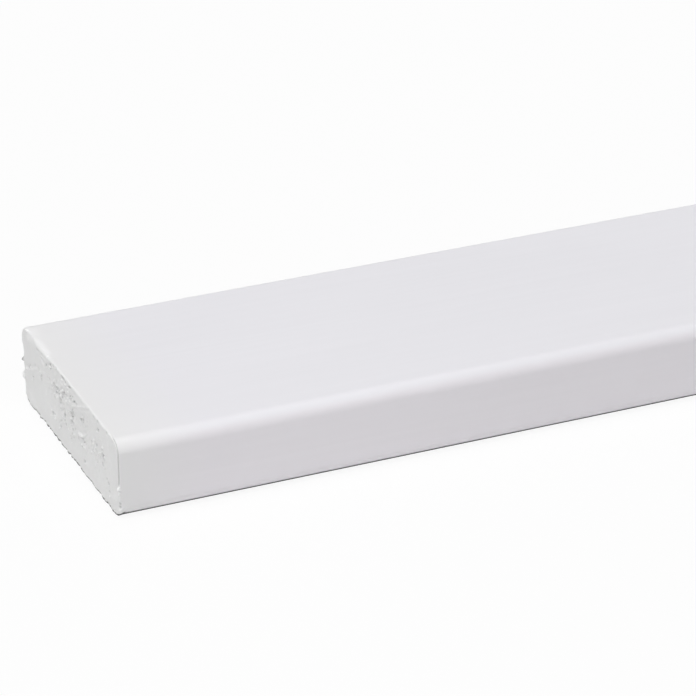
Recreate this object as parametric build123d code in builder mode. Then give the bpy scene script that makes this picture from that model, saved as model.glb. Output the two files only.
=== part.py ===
"""Finish-planed hardwood batten: one straight length of solid timber with four rounded long edges.

Millimetres. X runs along the grain, Y across the face and Z up through the thickness.
The origin is the middle of the underside, which is the face the batten lies on.
"""

import os

from build123d import *

# Driving dimensions
length = 2400.0  # stock length, from one sawn end to the other
width = 69.0  # planed face, from edge to edge
thickness = 20.0  # planed thickness, from underside to face
edge_radius = 3.5  # rounding worked along the four long edges
end_ease = 0.6  # softened arris all round each sawn end

# The section stands on the underside and runs from one sawn end to the other
near_end = Plane.YZ.offset(-length / 2)
section_centre = (0, thickness / 2)

with BuildPart() as batten:
    with BuildSketch(near_end) as section:
        with Locations(section_centre):
            RectangleRounded(width, thickness, edge_radius)
    extrude(amount=length)

    sawn_ends = batten.faces().filter_by(Axis.X)
    fillet(sawn_ends.edges(), radius=end_ease)

batten.part.label = "batten"

os.makedirs("parts", exist_ok=True)
export_step(batten.part, "parts/batten.step")
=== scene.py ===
# %% [markdown]
# # A primed hardwood batten
#
# This is one straight length of solid timber: planed on four sides, with its long edges rounded,
# cut off square by a saw at each end, and painted all over with white primer. The planed faces
# are smooth and satin. The sawn ends are rough: the paint has sunk into torn end grain and left
# pits, and the far side of each cut has splinters that the paint has frozen in place.
#
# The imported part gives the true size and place. The batten is modelled here once more in a fine
# mesh, so that the roughness of the ends is real shape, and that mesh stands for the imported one.

import math
import random

import bmesh
import bpy
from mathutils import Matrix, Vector, noise
from mathutils.kdtree import KDTree


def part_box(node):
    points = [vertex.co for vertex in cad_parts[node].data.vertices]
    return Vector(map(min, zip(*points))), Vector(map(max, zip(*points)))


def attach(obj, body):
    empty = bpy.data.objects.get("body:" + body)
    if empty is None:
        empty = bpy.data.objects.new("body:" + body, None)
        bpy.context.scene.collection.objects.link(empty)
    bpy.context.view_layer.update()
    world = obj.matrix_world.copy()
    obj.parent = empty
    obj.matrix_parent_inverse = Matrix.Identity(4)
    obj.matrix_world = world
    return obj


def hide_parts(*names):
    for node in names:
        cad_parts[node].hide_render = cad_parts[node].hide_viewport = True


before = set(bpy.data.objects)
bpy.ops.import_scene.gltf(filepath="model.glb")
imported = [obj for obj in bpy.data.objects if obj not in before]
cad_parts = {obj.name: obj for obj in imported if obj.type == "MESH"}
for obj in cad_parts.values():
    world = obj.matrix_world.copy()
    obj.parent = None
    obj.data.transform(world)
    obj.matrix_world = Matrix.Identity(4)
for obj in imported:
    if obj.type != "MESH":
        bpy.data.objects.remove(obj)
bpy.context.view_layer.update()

MM = 0.001
low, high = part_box("batten")
length = high.x - low.x
width = high.y - low.y
thickness = high.z - low.z
near_x = low.x
far_x = high.x
print(f"batten {length / MM:.0f} x {width / MM:.0f} x {thickness / MM:.0f} mm")

# %% [markdown]
# ## Camera
#
# The camera comes first, because everything after it is judged through it. The batten is seen
# from above its near end, with a long lens, so that its edges run nearly parallel. Two turns
# place the view: how far the look swings from straight across the batten towards its far end,
# and how far it tips down. The camera then stands back from the point it aims at.

# %% Camera
look_swing = math.radians(23.68)
look_tip = math.radians(26.17)
lens_length = 162.7  # millimetres, as the sensor's width
sensor_width = 36
aim_from_end = 67.85 * MM
aim_from_middle = -10.4 * MM
camera_distance = 757.9 * MM
nearest_seen = 50 * MM
farthest_seen = 200  # metres, past the edge of the floor


def place_camera():
    look = Vector((
        math.sin(look_swing) * math.cos(look_tip),
        math.cos(look_swing) * math.cos(look_tip),
        -math.sin(look_tip),
    ))
    aim = Vector((near_x + aim_from_end, aim_from_middle, high.z))
    data = bpy.data.cameras.new("camera")
    data.lens = lens_length
    data.sensor_width = sensor_width
    data.clip_start = nearest_seen
    data.clip_end = farthest_seen
    camera = bpy.data.objects.new("camera", data)
    bpy.context.scene.collection.objects.link(camera)
    camera.location = aim - look * camera_distance
    camera.rotation_euler = (math.pi / 2 - look_tip, 0, -look_swing)
    bpy.context.scene.camera = camera
    print("camera at", [round(v, 3) for v in camera.location])


place_camera()

# %% [markdown]
# ## Blocking out
#
# A batten is planed from a sawn plank, so its section is a rectangle with the corners taken
# off. That could be drawn as a profile and extruded, or cut from a block. Here it is cut from a
# block, as the machine does: a cube is scaled to the plank, a bevel rounds the four long edges,
# and a second, much smaller bevel softens the sharp corner all round each end.

# %% Helpers for working in edit mode
def pick(piece, kind, test):
    """Selects the vertices, edges or faces that pass the test, and nothing else."""
    bpy.ops.mesh.select_mode(type=kind)
    bpy.ops.mesh.select_all(action="DESELECT")
    mesh = bmesh.from_edit_mesh(piece.data)
    items = {"VERT": mesh.verts, "EDGE": mesh.edges, "FACE": mesh.faces}[kind]
    chosen = [item for item in items if test(item)]
    for item in chosen:
        item.select_set(True)
    mesh.select_flush_mode()
    bmesh.update_edit_mesh(piece.data)
    return len(chosen)


def reach_along(edge, axis):
    """How far an edge runs along one axis."""
    return abs(edge.verts[0].co[axis] - edge.verts[1].co[axis])


def face_count(piece):
    return len(bmesh.from_edit_mesh(piece.data).faces)


# %% The plank, its rounded edges and its eased ends
edge_radius = 3.5 * MM
arc_steps = 18
end_ease = 0.6 * MM
ease_steps = 4
circular = 0.5  # the profile of a bevel that is part of a circle
TINY = 1e-6

bpy.ops.object.select_all(action="DESELECT")
bpy.ops.mesh.primitive_cube_add(
    size=1, location=(low + high) / 2, scale=(length, width, thickness)
)
batten = bpy.context.object
batten.name = "primed_batten"
bpy.ops.object.transform_apply(location=True, rotation=True, scale=True)

bpy.ops.object.mode_set(mode="EDIT")
pick(batten, "EDGE", lambda e: reach_along(e, 0) > length / 2)
bpy.ops.mesh.bevel(
    offset=edge_radius,
    segments=arc_steps,
    profile=circular,
    affect="EDGES",
    clamp_overlap=False,
)
pick(batten, "EDGE", lambda e: reach_along(e, 0) < TINY)
bpy.ops.mesh.bevel(
    offset=end_ease,
    segments=ease_steps,
    profile=circular,
    affect="EDGES",
    clamp_overlap=False,
)
print("blocked out with", face_count(batten), "faces")

# %% [markdown]
# ## A mesh that can hold the detail
#
# Torn grain needs vertices about a third of a millimetre apart, but only at the ends. The two
# end faces are taken off first, because a subdivision would also cut across them. Then the long
# flat strips are divided across, and rings are cut round the batten, close together near the
# ends and further and further apart towards the middle. Each end is filled with a grid that
# meets the rings vertex for vertex, so that the mesh stays closed. Last, the near end's faces
# are divided once more, because its pits and splinters are seen from close by.

# %% Divide the flats
wide_cells = (14, 14)  # the wide face is divided twice over, into 14 times 14
narrow_cells = 40
wide_flat = 1 * MM  # edges longer than this across the width aren't part of the rounding
narrow_flat = 5 * MM  # the same, up the thickness

pick(batten, "FACE", lambda f: len(f.verts) > arc_steps * 4)
bpy.ops.mesh.delete(type="ONLY_FACE")
for cells in wide_cells:
    pick(batten, "EDGE", lambda e: reach_along(e, 1) > wide_flat)
    bpy.ops.mesh.subdivide(number_cuts=cells - 1)
pick(batten, "EDGE", lambda e: reach_along(e, 2) > narrow_flat)
bpy.ops.mesh.subdivide(number_cuts=narrow_cells - 1)
print("divided into", face_count(batten), "faces")

# %% Cut the rings
first_ring = 0.3 * MM
ring_growth = 1.45

distances = []
step = first_ring
distance = end_ease + step
while distance < length / 2:
    distances.append(distance)
    step *= ring_growth
    distance += step
ring_places = [near_x + d for d in distances] + [far_x - d for d in distances]


def crosses(face, x):
    along = [v.co.x for v in face.verts]
    return min(along) < x - TINY and max(along) > x + TINY


for ring in ring_places:
    pick(batten, "FACE", lambda f: crosses(f, ring))
    bpy.ops.mesh.bisect(plane_co=(ring, 0, 0), plane_no=(1, 0, 0))
print(len(ring_places), "rings,", face_count(batten), "faces")

# %% Fill the ends
wide_count = wide_cells[0] * wide_cells[1] + arc_steps
fine_depth = 1.5 * MM


def fill_end(side):
    """Fills one open end with a grid whose corners are the middles of the rounded corners."""
    pick(batten, "EDGE", lambda e: e.is_boundary and e.verts[0].co.x * side > 0)
    mesh = bmesh.from_edit_mesh(batten.data)
    inset = edge_radius - (edge_radius - end_ease) * math.sqrt(0.5)
    corner = Vector((side * length / 2, low.y + inset, high.z - inset))
    start = min((v for v in mesh.verts if v.select), key=lambda v: (v.co - corner).length)
    mesh.select_history.clear()
    mesh.select_history.add(start)
    bmesh.update_edit_mesh(batten.data)
    bpy.ops.mesh.fill_grid(span=wide_count, offset=0)


fill_end(-1)
fill_end(1)
pick(batten, "FACE", lambda f: all(v.co.x < near_x + fine_depth for v in f.verts))
bpy.ops.mesh.subdivide(number_cuts=1)
closed = all(e.is_manifold for e in bmesh.from_edit_mesh(batten.data).edges)
bpy.ops.mesh.select_all(action="SELECT")
bpy.ops.mesh.normals_make_consistent(inside=False)
bpy.ops.object.mode_set(mode="OBJECT")
print("closed:", closed, "with", len(batten.data.polygons), "faces")

# %% [markdown]
# ## The sawn ends
#
# A saw tears end grain. The cut is not flat: it waves a little, its fibres stand up or break
# out, and where the teeth leave the wood they take splinters with them. Primer then softens all
# of it. Each of those has its own scale, so each gets its own Displace modifier with its own
# texture, and a vertex group says where it acts and how strongly. The groups are painted by
# rule, from how far a vertex lies from the rim and from the slanting band of weak grain.
#
# A Displace modifier with no texture moves its whole group by one distance. That makes the
# larger marks of the near end: the top corner that was knocked down into a slope, its soft back
# part, the lower back corner that stands out a little, and the crack down the front corner.

# %% Where a place lies on an end
def smooth_step(value, start, end):
    """0 up to start, 1 from end on, and an even S between them."""
    share = min(max((value - start) / (end - start), 0), 1)
    return share * share * (3 - 2 * share)


def falling(value, start, end):
    """The same step turned round: 1 up to start, and 0 from end on."""
    return 1 - smooth_step(value, start, end)


def rim_distance(place):
    """How far inside the outline of the section a place lies."""
    half_width = width / 2
    half_thickness = thickness / 2
    across = half_width - edge_radius - abs(place.y)
    up = half_thickness - edge_radius - abs(place.z - half_thickness)
    if across < 0 and up < 0:
        return edge_radius - math.hypot(across, up)
    return min(across, up) + edge_radius


def depth_from_end(place):
    return length / 2 - abs(place.x)


def across_mm(place):
    """How far across the width a place lies, from the front edge, in millimetres."""
    return (place.y - low.y) / MM


# %% The sawn face and its weak grain
band_height = 0.66  # of the thickness, in the middle of the width
band_slope = 0.45  # of the thickness, for one width
band_fade = (0.10, 0.42)  # of the thickness, off the slanting line
band_middle = -0.06  # of the width
band_ends = (0.24, 0.40)  # of the width, off the band's middle
band_margin = (0.6 * MM, 2.5 * MM)  # in from the rim
patch_size = 5 * MM
patch_fade = (0.25, 0.65)
rim_margin = 1.5 * MM


def end_share(place):
    """1 on the sawn face, and 0 where the eased corner meets the planed faces."""
    return falling(depth_from_end(place), 0, end_ease)


def weak_grain(place):
    """The slanting band where the grain tore, in soft random patches, clear of the rim."""
    across = place.y / width
    off_line = abs(place.z / thickness - band_height - band_slope * across)
    band = falling(off_line, *band_fade)
    span = falling(abs(across - band_middle), *band_ends)
    margin = smooth_step(rim_distance(place), *band_margin)
    patch = noise.noise(place / patch_size) * 0.5 + 0.5
    return band * span * margin * smooth_step(patch, *patch_fade) * end_share(place)


def clean_margin(place):
    """The rest of the sawn face, where the primer lies almost flat."""
    return end_share(place) * smooth_step(rim_distance(place), 0, rim_margin)


# %% The edges that the saw broke
broken_inset = (0.5 * MM, 1.6 * MM)  # in from the back edge
broken_top = (13.5 * MM, 15.5 * MM)  # up from the floor
broken_depth = (0.5 * MM, 2 * MM)  # from the end
uneven_height = (0.4 * MM, 1.6 * MM)
uneven_depth = (0.4 * MM, 2 * MM)


def back_edge(place):
    """The back edge of each end, which broke away as the teeth left the wood."""
    from_back = falling(high.y - place.y, *broken_inset)
    below_top = falling(place.z, *broken_top)
    return from_back * below_top * falling(depth_from_end(place), *broken_depth)


def lower_edge(place):
    """The lower edge of each end, which is only a little uneven."""
    from_floor = falling(place.z, *uneven_height)
    return from_floor * falling(depth_from_end(place), *uneven_depth)


# %% The near end's top corner
dent_start = (47, 52)  # across, in millimetres, as the dent's end and the soft part's
dent_end = (57, 61)
dent_run = 1.4 * MM  # along the batten
dent_hold = (4 * MM, 0.5 * MM)  # below the top
dent_depth = 0.55 * MM
soft_start = (58, 62)
soft_end = (63.5, 66.5)
soft_reach = 2.6 * MM  # round the corner's line
soft_depth = 0.55 * MM


def corner_dent(place):
    """A stretch of the near end's top corner that was knocked down into a slope."""
    across = across_mm(place)
    stretch = smooth_step(across, *dent_start) * falling(across, *dent_end)
    slope = 1 - min(depth_from_end(place) / dent_run, 1)
    held = smooth_step(place.z, high.z - dent_hold[0], high.z - dent_hold[1])
    return stretch * slope * held if place.x < 0 else 0


def corner_round(place):
    """The back of the near end's top corner, which is soft and round instead of crisp."""
    across = across_mm(place)
    from_corner = math.hypot(depth_from_end(place), high.z - place.z)
    stretch = smooth_step(across, *soft_start) * falling(across, *soft_end)
    return stretch * falling(from_corner, 0, soft_reach) if place.x < 0 else 0


# %% The near end's front corner and lower back corner
crack_start = (8.4 * MM, 9.4 * MM)  # up from the floor
crack_end = (2.5, 5.0)  # across, in millimetres, once it has turned the rounded corner
crack_reach = 0.3 * MM  # either side of its line
crack_inset = 0.45 * MM  # it stays on the eased corner
crack_depth = 0.50 * MM
swell_across = 62 * MM
swell_reach = 5 * MM
swell_run = 2 * MM  # along the batten
swell_height = 0.40 * MM


def corner_crack(place):
    """The middle line of the near end's front corner, where the primer shrank into a crack."""
    depth = depth_from_end(place)
    off_line = abs(rim_distance(place) - depth)
    stretch = smooth_step(place.z, *crack_start) * falling(across_mm(place), *crack_end)
    on_ease = depth < crack_inset and place.x < 0
    return stretch * max(1 - off_line / crack_reach, 0) if on_ease else 0


def corner_swell(place):
    """The near end's lower back corner, which stands out a little where the saw ran off line."""
    off_corner = math.hypot(place.y - low.y - swell_across, place.z)
    swell = falling(off_corner, 0, swell_reach) * falling(depth_from_end(place), 0, swell_run)
    return swell if place.x < 0 else 0


# %% Paint the vertex groups
worked_depth = 3 * MM  # no mark reaches further in from an end
faintest = 0.001


def paint_group(rule):
    """Adds a vertex group named after its rule, on the vertices near the ends."""
    group = batten.vertex_groups.new(name=rule.__name__)
    painted = 0
    for vertex in batten.data.vertices:
        if depth_from_end(vertex.co) < worked_depth:
            weight = rule(vertex.co)
            if weight > faintest:
                group.add([vertex.index], weight, "REPLACE")
                painted += 1
    print(f"{group.name}: {painted} vertices")


for rule in (
    end_share, weak_grain, clean_margin, back_edge, lower_edge,
    corner_dent, corner_round, corner_crack, corner_swell,
):
    paint_group(rule)
# The crack and the dent are kept, to place the crack's painted shade and the dent's painted
# highlight.
cracked = [corner_crack(v.co) for v in batten.data.vertices]
dented = [corner_dent(v.co) if depth_from_end(v.co) > TINY else 0 for v in batten.data.vertices]

# %% Tear the grain
def clouds(name, size, depth=2, hard=False):
    texture = bpy.data.textures.new(name, "CLOUDS")
    texture.noise_scale = size
    texture.noise_depth = depth
    texture.noise_type = "HARD_NOISE" if hard else "SOFT_NOISE"
    return texture


def small_holes(name, size, hole_share):
    """Dots that are black at the middle of each cell, with white between them."""
    texture = bpy.data.textures.new(name, "VORONOI")
    texture.noise_scale = size
    texture.use_color_ramp = True
    inner, outer = texture.color_ramp.elements
    inner.position = hole_share * 0.3
    inner.color = (0, 0, 0, 1)
    outer.position = hole_share
    outer.color = (1, 1, 1, 1)
    return texture


def roughen(texture, group, strength, level=0.5, direction="NORMAL"):
    """Moves a group's vertices by a texture, along the direction where it is above the level."""
    modifier = batten.modifiers.new("roughen", "DISPLACE")
    modifier.texture = texture
    modifier.texture_coords = "LOCAL"
    modifier.direction = direction
    modifier.vertex_group = group
    modifier.mid_level = level
    modifier.strength = strength
    bpy.context.view_layer.objects.active = batten
    bpy.ops.object.modifier_apply(modifier=modifier.name)


waves = clouds("waving_cut", size=9 * MM, depth=1)
fibres = clouds("raised_fibres", size=3.0 * MM)
torn = clouds("torn_fibres", size=1.4 * MM, hard=True)
pinholes = small_holes("pinholes", size=1.0 * MM, hole_share=0.40)
broken = clouds("broken_edge", size=2.4 * MM, depth=3)
uneven = clouds("uneven_edge", size=1.6 * MM, depth=3)

roughen(waves, "end_share", strength=0.30 * MM)
roughen(None, "corner_round", strength=-soft_depth, level=0)
roughen(None, "corner_swell", strength=-swell_height, level=0, direction="X")
level_cut = [depth_from_end(v.co) for v in batten.data.vertices]
roughen(fibres, "clean_margin", strength=0.34 * MM)
roughen(torn, "weak_grain", strength=0.35 * MM, level=0.35)
roughen(pinholes, "weak_grain", strength=0.35 * MM, level=1)
roughen(broken, "back_edge", strength=1.30 * MM, level=0.85)
roughen(uneven, "lower_edge", strength=0.80 * MM, level=0.55)
roughen(None, "corner_dent", strength=-dent_depth, level=0, direction="Z")
roughen(None, "corner_crack", strength=-crack_depth, level=0)
off_level = [depth_from_end(v.co) - level for v, level in zip(batten.data.vertices, level_cut)]
print(f"torn {max(off_level) / MM:.2f} mm deep and {-min(off_level) / MM:.2f} mm high")

# %% [markdown]
# ## Marks pressed in one by one
#
# Some marks can be told apart one by one: deep pits where a knot of fibres came out, splinters
# that stand on the back edge, a bead of primer that ran down the front corner. Those are made
# as a sculptor would make them. A vertex is taken hold of and pushed, and proportional editing
# lets its neighbours follow, less and less with distance.

# %% Press and pull
def on_end(side, across, up):
    """A point on an end: across from the front edge and up from the floor, in millimetres."""
    return Vector((side * length / 2, low.y + across * MM, low.z + up * MM))


def grip_tree():
    """The mesh's vertices near the ends, so that the nearest one to a place is found fast."""
    mesh = bmesh.from_edit_mesh(batten.data)
    near_ends = [v for v in mesh.verts if depth_from_end(v.co) < worked_depth]
    tree = KDTree(len(near_ends))
    for vertex in near_ends:
        tree.insert(vertex.co, vertex.index)
    tree.balance()
    return tree


def press(tree, places, push, reach, falloff="SMOOTH"):
    """Takes hold of the vertices nearest to some places, and moves them by push."""
    bpy.ops.mesh.select_all(action="DESELECT")
    mesh = bmesh.from_edit_mesh(batten.data)
    mesh.verts.ensure_lookup_table()
    for place in places:
        mesh.verts[tree.find(place)[1]].select_set(True)
    mesh.select_flush_mode()
    bmesh.update_edit_mesh(batten.data, loop_triangles=False, destructive=False)
    bpy.ops.transform.translate(
        value=push,
        use_proportional_edit=True,
        proportional_edit_falloff=falloff,
        proportional_size=reach,
    )


def work_on(side):
    """Hides all of the mesh but one end, so that only its vertices are moved."""
    bpy.ops.mesh.reveal(select=False)
    pick(batten, "VERT", lambda v: v.co.x * side > length / 2 - worked_depth)
    bpy.ops.mesh.hide(unselected=True)


bpy.ops.object.mode_set(mode="EDIT")
grips = grip_tree()

# %% Where the pits gather
pit_patches = [  # across, up and reach in millimetres, then the number of pits
    (44.5, 14.0, 2.0, 9),
    (41.0, 14.5, 2.0, 9),
    (37.0, 15.0, 2.0, 9),
    (32.0, 16.0, 2.0, 6),
    (44.0, 12.0, 1.5, 2),
    (39.5, 12.0, 1.5, 3),
    (32.5, 12.0, 1.5, 6),
    (32.5, 9.5, 1.5, 5),
    (37.5, 8.5, 1.5, 4),
    (45.5, 6.0, 1.5, 4),
    (41.0, 6.0, 1.5, 2),
    (32.0, 6.0, 2.0, 6),
    (24.0, 15.0, 1.0, 3),
    (25.0, 8.5, 2.5, 8),
    (16.5, 11.5, 2.5, 9),
    (10.5, 12.5, 2.0, 9),
    (13.0, 9.5, 2.0, 5),
    (23.5, 4.0, 0.5, 1),
    (7.5, 6.5, 2.0, 5),
    (62.0, 9.5, 2.0, 3),
    (54.0, 12.5, 1.0, 2),
]
print(sum(patch[-1] for patch in pit_patches), "pits for each end")

# %% One pit, and a patch of them
lip_drop = 1.4  # of the pit's size, as the lip's reach
lip_reach = 1.1
lip_height = 0.4  # of the pit's depth
reach_over_spread = (2, 2.4)  # how closely a patch's pits gather, across and up
pit_sizes = (0.20, 0.29)  # millimetres, as the runs
pit_runs = (0.1, 0.7)
pit_slants = (0, 0, -0.4, 0.4)  # of the size, as the depths
pit_depths = (1.4, 2.4)
clear_of_rim = 0.8 * MM
bead_share = 0.75  # of the pits have a bead of primer by them
bead_distance = 1.4  # millimetres, as the bead's height
bead_height = 0.36
bead_run = 0.6  # of the pit's run
bead_reach = 0.40 * MM


def pit(side, place, size, depth, run, slant=0.0):
    """A steep hole that runs across the end, and a lip of raised fibre just below it."""
    inwards = -side
    half = Vector((0, run / 2, slant))
    drop = Vector((0, 0, size * lip_drop))
    press(grips, [place - half, place, place + half], (inwards * depth, 0, 0), size, "SPHERE")
    lip = [place - half - drop, place - drop, place + half - drop]
    press(grips, lip, (-inwards * depth * lip_height, 0, 0), size * lip_reach)


def pit_patch(side, draw, across, up, reach, count):
    """Scatters pits round a point of one end, clear of its rim, with a bead of primer by many of
    them.
    """
    for _ in range(count):
        off_across = draw.gauss(0, reach / reach_over_spread[0])
        off_up = draw.gauss(0, reach / reach_over_spread[1])
        place = on_end(side, across + off_across, up + off_up)
        size = draw.uniform(*pit_sizes) * MM
        run = draw.uniform(*pit_runs) * MM
        slant = draw.choice(pit_slants) * size
        away = Vector((0, draw.uniform(-1, 1), draw.uniform(-1, 1))) * bead_distance * MM
        if rim_distance(place) > clear_of_rim:
            pit(side, place, size, size * draw.uniform(*pit_depths), run, slant)
        if rim_distance(place + away) > clear_of_rim and draw.random() < bead_share:
            bead = [place + away, place + away + Vector((0, run * bead_run, 0))]
            press(grips, bead, (side * bead_height * MM, 0, 0), bead_reach)


for side, seed in ((1, 12), (-1, 11)):
    work_on(side)
    draw = random.Random(seed)
    for patch in pit_patches:
        pit_patch(side, draw, *patch)

# %% Deep pits on the near end
deep_pits = [  # across and up, in millimetres, as in all the lists that follow
    (10.0, 12.0), (23.5, 4.0), (37.0, 9.6), (46.5, 6.0), (31.0, 13.6), (32.0, 12.1), (25.2, 14.3),
]
rim_pits = [(47.0, 18.7), (47.2, 17.9), (38.0, 19.2), (36.0, 19.1), (33.8, 19.0), (13.0, 17.4)]

for across, up in deep_pits + rim_pits:
    pit(-1, on_end(-1, across, up), size=0.32 * MM, depth=0.8 * MM, run=0.7 * MM)
print(len(deep_pits), "deep pits, and", len(rim_pits), "under the rim")

# %% Creases, tears and notches on the near end
creases = [  # from and to, the depth, or the height where it is negative, the reach and the grips
    ((65.0, 10.2), (58.2, 13.2), 0.30, 0.60, 9),
    ((64.5, 9.4), (58.0, 12.4), -0.12, 0.60, 9),
    ((56.5, 13.4), (56.5, 12.2), 0.28, 0.60, 3),
    ((53.6, 17.2), (50.8, 16.8), 0.27, 0.80, 5),
    ((50.8, 16.8), (47.8, 18.2), 0.25, 0.70, 5),
    ((31.3, 14.2), (19.5, 19.3), 0.28, 0.60, 14),
    ((31.3, 15.0), (22.0, 19.0), -0.18, 0.60, 12),
    ((27.0, 9.8), (24.0, 10.4), -0.35, 0.60, 4),
    ((24.0, 10.4), (21.5, 11.9), -0.35, 0.60, 4),
    ((57.0, 18.2), (50.5, 18.5), 0.22, 0.70, 9),
    ((38.6, 19.15), (32.8, 19.0), 0.60, 0.55, 10),
]
tears = [  # the depth, then the points that the tear turns at
    (0.36, [(32.5, 17.0), (30.5, 16.6), (28.2, 16.6)]),
    (0.28, [(44.0, 13.3), (41.0, 13.6), (36.0, 14.6)]),
    (0.28, [(41.2, 12.1), (37.9, 12.4), (31.5, 14.7)]),
    (0.28, [(39.9, 9.7), (37.2, 11.4), (37.0, 9.5), (40.2, 7.0), (42.0, 5.4)]),
]
rim_notches = [(44.6, 19.2), (42.7, 19.2), (38.5, 19.2), (16.0, 19.1), (13.2, 19.2), (7.0, 19.2)]


def crease(start, end, depth, reach, count):
    """A line pressed into the near end by a row of grips, or raised by a negative depth."""
    line = [on_end(-1, *start).lerp(on_end(-1, *end), i / (count - 1)) for i in range(count)]
    press(grips, line, (depth * MM, 0, 0), reach * MM)


for row in creases:
    crease(*row)
for depth, points in tears:
    for start, end in zip(points, points[1:]):
        crease(start, end, depth, reach=0.5, count=6)
for across, up in rim_notches:
    press(grips, [on_end(-1, across, up)], (0.35 * MM, 0, -0.1 * MM), 0.55 * MM, "SPHERE")
print(len(creases), "creases,", len(tears), "tears and", len(rim_notches), "notches")

# %% Splinters and beads on the near end
hand_marks = {  # the places, the push in, back and up, the reach, and how steeply it falls off
    "back_hollow": ([(69, 13.4)], (0.30, 0, 0), 1.6, "SMOOTH"),
    "dark_nib": ([(69, 10.5)], (-0.60, 0.15, -0.1), 0.6, "SPHERE"),
    "back_bump": ([(69, 6.3)], (-0.60, 0.25, 0), 1.4, "SPHERE"),
    "top_corner_bead": ([(65.0, 19.9)], (-0.40, 0, 0.15), 0.7, "SMOOTH"),
    "bead_by_the_dent": ([(49.3, 20.0)], (-0.30, 0, 0.20), 0.9, "SMOOTH"),
    "bead_by_a_pit": ([(23.8, 15.1)], (-0.30, 0, 0), 0.4, "SMOOTH"),
    "lower_splinter": ([(55.5, 0.2)], (-0.40, 0, 0), 1.2, "SMOOTH"),
    "front_corner_bead": ([(0.2, 8.0)], (-0.42, -0.42, 0), 0.75, "SMOOTH"),
    "front_corner_neck": ([(0.2, 7.2)], (0.20, 0.20, 0), 0.5, "SMOOTH"),
    "front_corner_drop": ([(0.2, 6.7)], (-0.20, -0.20, 0), 0.5, "SMOOTH"),
    "front_corner_chip": ([(0.2, 3.3), (0.2, 4.2)], (0.38, 0.20, 0), 1.1, "SMOOTH"),
}

for points, push, reach, falloff in hand_marks.values():
    gripped = [on_end(-1, across, up) for across, up in points]
    press(grips, gripped, tuple(v * MM for v in push), reach * MM, falloff)
print("pushed by hand:", ", ".join(hand_marks))

# %% Nothing hangs below the floor
bpy.ops.mesh.reveal(select=False)
hanging = pick(batten, "VERT", lambda v: v.co.z < low.z)
bpy.ops.transform.resize(value=(1, 1, 0), center_override=(0, 0, low.z))
bpy.ops.object.mode_set(mode="OBJECT")
print(hanging, "vertices put back on the floor")

# %% Smooth shading
bpy.ops.object.select_all(action="DESELECT")
batten.select_set(True)
bpy.context.view_layer.objects.active = batten
bpy.ops.object.shade_smooth()
for group in list(batten.vertex_groups):
    batten.vertex_groups.remove(group)

# %% [markdown]
# ## Primer
#
# The primer is a thin film, so it is a material and not a piece of its own. It was sprayed on
# the planed faces, where it is satin, a cool white, with faint streaks from the grain below. On
# the last two centimetres it was brushed, and it soaked into the sawn ends, where it is matt
# and neutral. Shade and light are painted into its colour too: painted shade in the pits, the
# crack and on a dark splinter, a painted highlight on the fibres that stand up and in the dent
# of the top corner, and a dark painted contact shadow along the lowest line of the lower edges.
#
# Where each tone lies could be painted on an image, or guessed by the material from how the
# surface bends. Here the mesh already knows: every vertex was pushed by a known distance from
# the level of the cut. Those distances are kept on the vertices as attributes, and the material
# reads them. The tones themselves are mixed from noise that is stretched along the grain.

# %% Where the painted shade and the painted highlight lie
sunk_depth = (0.15 * MM, 0.50 * MM)
raised_height = (0.05 * MM, 0.22 * MM)
raised_inset = (1.5 * MM, 0.8 * MM)  # in from the back edge
raised_lift = (1.2 * MM, 2.0 * MM)  # up from the floor
nib_reach = (0.6 * MM, 1.0 * MM)
# How strongly the dent's painted highlight and the crack's painted shade show.
dent_highlight_share = 1.3
crack_shade_share = 0.6


def sunk(place, level):
    """How far a place has sunk below the level of the cut, from 0 to 1, which sets its painted
    shade.
    """
    return smooth_step(depth_from_end(place) - level, *sunk_depth)


def raised(place, level):
    """How far a place stands out of the level of the cut, from 0 to 1, which sets its painted
    highlight.
    """
    off_back = falling(place.y, high.y - raised_inset[0], high.y - raised_inset[1])
    off_floor = smooth_step(place.z, *raised_lift)
    stands_out = smooth_step(level - depth_from_end(place), *raised_height)
    return off_back * off_floor * stands_out


def nib(place):
    """The splinter on the near end's back edge, which is painted as dark as the pits."""
    return falling((place - on_end(-1, *hand_marks["dark_nib"][0][0])).length, *nib_reach)


def dent_highlight(dent):
    """A painted highlight half way down the dent in the top corner."""
    return dent_highlight_share * dent * (1 - dent)


# %% Where the painted contact shadow lies
line_height = 0.85  # millimetres, on the sawn face
line_rise = 0.75  # more on the planed faces
line_depth = (0.3 * MM, 1.5 * MM)
corner_rise = 0.5  # and more again round the front corner
corner_reach = (1.0 * MM, 2.5 * MM)
line_fade = 0.4
shadow_line_inset = (2.0 * MM, 2.6 * MM)
back_share = 0.45  # less towards the back
back_fade = (24 * MM, 10 * MM)  # in from the back edge


def contact_shadow(place):
    """The lowest line of the lower edges, darkened as a painted contact shadow."""
    depth = depth_from_end(place)
    inset = min(width / 2 - abs(place.y), depth)
    corner = falling(math.hypot(place.y - low.y, depth), *corner_reach)
    limit = line_height + line_rise * smooth_step(depth, *line_depth) + corner_rise * corner
    low_line = falling(place.z / MM, limit - line_fade, limit)
    towards_back = smooth_step(place.y, high.y - back_fade[0], high.y - back_fade[1])
    return low_line * (1 - back_share * towards_back) * falling(inset, *shadow_line_inset)


# %% Attributes for the paint
def paint_attribute(name, values):
    attribute = batten.data.attributes.new(name, "FLOAT", "POINT")
    attribute.data.foreach_set("value", values)
    print(f"{name}: {sum(v > 0.5 for v in values)} vertices")


places = [v.co for v in batten.data.vertices]
# Painted shade: the pits, the crack and the dark splinter take the darkest tone of the primer.
painted_shade_mask = [
    max(sunk(place, level), nib(place), crack_shade_share * crack)
    for place, level, crack in zip(places, level_cut, cracked)
]
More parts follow.
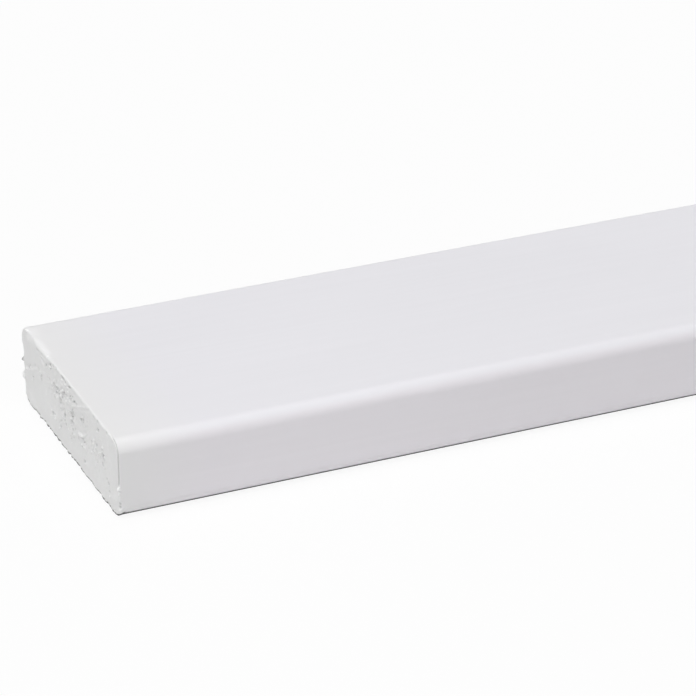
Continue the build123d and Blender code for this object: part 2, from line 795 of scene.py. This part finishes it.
# Painted highlight: the fibres that stand up and the middle of the dent take the whitest tone.
painted_highlight_mask = [
    max(raised(place, level), dent_highlight(dent))
    for place, level, dent in zip(places, level_cut, dented)
]
# The sawn share is a real change of finish; the other three attributes place painted shade,
# painted highlight and painted contact shadow.
paint_attribute("sawn", [falling(level, 0.15 * MM, end_ease) for level in level_cut])
paint_attribute("sunk", painted_shade_mask)
paint_attribute("raised", painted_highlight_mask)
paint_attribute("contact_shadow", [contact_shadow(place) for place in places])

# %% Helpers for the material
noise_span = (0.3, 0.7)  # where most of a noise texture's values lie
noise_detail = 2


def feed(tree, socket, value):
    """Writes a plain value on a socket, or joins another node's output to it."""
    if isinstance(value, bpy.types.NodeSocket):
        tree.links.new(value, socket)
    else:
        socket.default_value = value


def attribute(tree, name):
    node = tree.nodes.new("ShaderNodeAttribute")
    node.attribute_name = name
    return node.outputs["Fac"]


def blend_colour(tree, share, first, second):
    """The first colour where the share is 0, and the second where it is 1."""
    node = tree.nodes.new("ShaderNodeMix")
    node.data_type = "RGBA"
    for index, value in ((0, share), (6, first), (7, second)):
        value = (*value, 1) if isinstance(value, tuple) else value
        feed(tree, node.inputs[index], value)
    return node.outputs[2]


def blend(tree, share, first, second):
    """The first value where the share is 0, and the second where it is 1."""
    node = tree.nodes.new("ShaderNodeMix")
    for index, value in ((0, share), (2, first), (3, second)):
        feed(tree, node.inputs[index], value)
    return node.outputs[0]


def calculate(tree, operation, first, second=0.0):
    node = tree.nodes.new("ShaderNodeMath")
    node.operation = operation
    feed(tree, node.inputs[0], first)
    feed(tree, node.inputs[1], second)
    return node.outputs[0]


def rising(tree, value, start, end):
    """0 up to start and 1 from end on."""
    node = tree.nodes.new("ShaderNodeMapRange")
    for index, item in enumerate((value, start, end)):
        feed(tree, node.inputs[index], item)
    return node.outputs[0]


def object_place(tree):
    """The X, Y and Z of a point in the object's own space."""
    coords = tree.nodes.new("ShaderNodeTexCoord")
    split = tree.nodes.new("ShaderNodeSeparateXYZ")
    tree.links.new(coords.outputs["Object"], split.inputs[0])
    return split.outputs


def grain_noise(tree, size, stretch=1):
    """Noise of a size across the grain, stretched along it."""
    coords = tree.nodes.new("ShaderNodeTexCoord")
    mapping = tree.nodes.new("ShaderNodeMapping")
    mapping.inputs["Scale"].default_value = (1 / (size * stretch), 1 / size, 1 / size)
    texture = tree.nodes.new("ShaderNodeTexNoise")
    texture.inputs["Scale"].default_value = 1
    texture.inputs["Detail"].default_value = noise_detail
    tree.links.new(coords.outputs["Object"], mapping.inputs["Vector"])
    tree.links.new(mapping.outputs[0], texture.inputs["Vector"])
    return texture.outputs["Fac"]


def streaks(tree, size, stretch):
    """The same noise, spread over 0 to 1."""
    return rising(tree, grain_noise(tree, size, stretch), *noise_span)


# %% Colour of the primer
satin = (0.834, 0.826, 0.862)  # sprayed on the planed face
edge_tint = (0.838, 0.814, 0.850)  # a little pinker on the two edges
brushed = (0.832, 0.828, 0.834)  # brushed on the ends, lapping onto the planed faces
matt = (0.820, 0.820, 0.818)  # soaked into the sawn ends
painted_shade_tone = (0.41, 0.41, 0.41)  # painted shade, in the pits, the crack and on the dark splinter
painted_highlight_tone = (0.95, 0.95, 0.95)  # painted highlight, on the fibres that stand up and in the dent
# A painted contact shadow, along the lowest line of the lower edges.
shadow_line_tone = (0.07, 0.07, 0.07)
edge_start = (1.2 * MM, 0.4 * MM)  # in from the edge
brush_lap = (22 * MM, 2 * MM)  # in from the end
streak_share = 0.012
cloud_tones = (0.992, 1.008)


def darker(colour, share):
    return tuple(v * (1 - share) for v in colour)


def close_to(tree, coordinate, limit, reach):
    """0 up to a reach short of a limit on either side of the middle, and 1 near the limit."""
    off_middle = calculate(tree, "ABSOLUTE", coordinate)
    return rising(tree, off_middle, limit - reach[0], limit - reach[1])


def primer_colour(tree, sawn):
    """Layers the tones of the primer, from the planed faces to the sawn ends, and over them the
    painted highlight, painted shade and painted contact shadow.
    """
    x, y, _ = object_place(tree)
    on_edge = close_to(tree, y, width / 2, edge_start)
    in_lap = close_to(tree, x, length / 2, brush_lap)
    grain = streaks(tree, 1.3 * MM, stretch=40)
    cloudy = streaks(tree, 28 * MM, stretch=2)
    face = blend_colour(tree, grain, satin, darker(satin, streak_share))
    edge = blend_colour(tree, grain, edge_tint, darker(edge_tint, streak_share))
    planed = blend_colour(tree, on_edge, face, edge)
    planed = blend_colour(tree, in_lap, planed, brushed)
    tone = tree.nodes.new("ShaderNodeVectorMath")
    tone.operation = "SCALE"
    feed(tree, tone.inputs[0], blend_colour(tree, sawn, planed, matt))
    feed(tree, tone.inputs["Scale"], blend(tree, cloudy, *cloud_tones))
    # Painted highlight on the fibres that stand up and in the dent.
    colour = blend_colour(tree, attribute(tree, "raised"), tone.outputs[0], painted_highlight_tone)
    # Painted shade in the pits, the crack and on the dark splinter.
    colour = blend_colour(tree, attribute(tree, "sunk"), colour, painted_shade_tone)
    # Painted contact shadow along the lowest line of the lower edges.
    return blend_colour(tree, attribute(tree, "contact_shadow"), colour, shadow_line_tone)


# %% Surface of the primer
spray_height = 0.010 * MM
fibre_height = 0.060 * MM
satin_roughness = (0.43, 0.51)
matt_roughness = 0.75
shadow_line_roughness = 0.95


def primer_relief(tree, sawn):
    """The finest relief: faint spray texture on the faces, and raised fibre on the ends."""
    spray = calculate(tree, "MULTIPLY", grain_noise(tree, 1.6 * MM, stretch=1.5), spray_height)
    fibre = calculate(tree, "MULTIPLY", grain_noise(tree, 0.5 * MM), fibre_height)
    bump = tree.nodes.new("ShaderNodeBump")
    bump.inputs["Distance"].default_value = 1
    feed(tree, bump.inputs["Height"], blend(tree, sawn, spray, fibre))
    return bump.outputs[0]


def primer():
    material = bpy.data.materials.new("white_primer")
    material.use_nodes = True
    tree = material.node_tree
    shader = tree.nodes["Principled BSDF"]
    sawn = attribute(tree, "sawn")
    satin_sheen = blend(tree, streaks(tree, 2.1 * MM, stretch=30), *satin_roughness)
    roughness = blend(tree, sawn, satin_sheen, matt_roughness)
    # The painted contact shadow is rough too, so that it shows no gloss.
    roughness = blend(tree, attribute(tree, "contact_shadow"), roughness, shadow_line_roughness)
    feed(tree, shader.inputs["Base Color"], primer_colour(tree, sawn))
    feed(tree, shader.inputs["Roughness"], roughness)
    feed(tree, shader.inputs["Normal"], primer_relief(tree, sawn))
    print(f"{material.name}: {len(tree.nodes)} nodes")
    return material


batten.data.materials.clear()
batten.data.materials.append(primer())
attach(batten, "root")
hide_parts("batten")

# %% [markdown]
# ## Floor and light
#
# The batten lies on white paper, with no corner or horizon behind it. More light would make the
# paper white, but it would wash out the batten too. So the floor and the world have two looks:
# rays that show the background find them nearly white, and all other rays find plain pale
# paper and a dim grey sky, which light the batten softly. The paper still takes its shadow.
#
# Three broad suns set the three tones. The one overhead makes the wide face the lightest, the
# one from the end is next, and its slant is what shows the pits, and the weakest fills the long
# edge. A small soft lamp close to the near corner lets the long faces darken a little with
# distance. Together they are no brighter than daylight indoors, so no white is lost.

# %% Two looks in one
white = (1, 1, 1, 1)


def shown_rays(tree):
    """1 for rays that show the background: from the camera, a reflection or through glass."""
    path = tree.nodes.new("ShaderNodeLightPath").outputs
    either = calculate(tree, "MAXIMUM", path["Is Camera Ray"], path["Is Glossy Ray"])
    return calculate(tree, "MAXIMUM", either, path["Is Transmission Ray"])


def plain_shader(tree, kind, colour, strength=None):
    node = tree.nodes.new(kind)
    node.inputs["Color"].default_value = colour
    if strength is not None:
        node.inputs["Strength"].default_value = strength
    return node.outputs[0]


def two_looks(tree, output, share, lighting, shown):
    """Gives an empty node tree one shader that lights the scene, and another that is seen."""
    mix = tree.nodes.new("ShaderNodeMixShader")
    for index, value in enumerate((share, lighting, shown)):
        tree.links.new(value, mix.inputs[index])
    tree.links.new(mix.outputs[0], tree.nodes.new(output).inputs["Surface"])


# %% Floor
floor_size = 80
floor_show = 0.92  # the rest keeps the shadow
paper = (0.85, 0.85, 0.85, 1)


def floor_material():
    material = bpy.data.materials.new("studio_floor")
    material.use_nodes = True
    tree = material.node_tree
    tree.nodes.clear()
    share = calculate(tree, "MULTIPLY", shown_rays(tree), floor_show)
    lighting = plain_shader(tree, "ShaderNodeBsdfDiffuse", paper)
    shown = plain_shader(tree, "ShaderNodeEmission", white, strength=1)
    two_looks(tree, "ShaderNodeOutputMaterial", share, lighting, shown)
    return material


bpy.ops.object.select_all(action="DESELECT")
bpy.ops.mesh.primitive_plane_add(size=floor_size, location=(0, 0, low.z))
floor = bpy.context.object
floor.name = "floor"
floor.data.materials.append(floor_material())

# %% Light
ambient = 0.15
suns = {  # strength, breadth in degrees, and the way that the light goes
    "overhead": (1.21, 40, (0, 0, -1)),
    "from_the_end": (1.08, 20, (0.7, 0.1, -0.7)),
    "from_the_front": (0.57, 60, (0.1, 0.8, -0.6)),
}
near_lamp_power = 0.027
near_lamp_size = 0.15
near_lamp_offset = Vector((-0.03, -0.12, 0.13))  # from the near front corner


def light_world():
    world = bpy.data.worlds.new("studio")
    bpy.context.scene.world = world
    world.use_nodes = True
    tree = world.node_tree
    tree.nodes.clear()
    lighting = plain_shader(tree, "ShaderNodeBackground", white, strength=ambient)
    shown = plain_shader(tree, "ShaderNodeBackground", white, strength=1)
    two_looks(tree, "ShaderNodeOutputWorld", shown_rays(tree), lighting, shown)


def add_lamp(name, kind, power, way, place=(0, 0, 0)):
    """Adds a lamp that shines one way, and returns its data for its own settings."""
    data = bpy.data.lights.new(name, kind)
    data.energy = power
    lamp = bpy.data.objects.new(name, data)
    bpy.context.scene.collection.objects.link(lamp)
    lamp.location = place
    lamp.rotation_euler = Vector(way).to_track_quat("-Z", "Y").to_euler()
    print(name, "shines with", power)
    return data


light_world()
for name, (strength, breadth, way) in suns.items():
    add_lamp(name, "SUN", strength, way).angle = math.radians(breadth)
near_corner = Vector((near_x, low.y, high.z))
near_place = near_corner + near_lamp_offset
near_lamp = add_lamp("near_lamp", "AREA", near_lamp_power, near_corner - near_place, near_place)
near_lamp.shape = "DISK"
near_lamp.size = near_lamp_size

bpy.context.scene.view_settings.view_transform = "Standard"
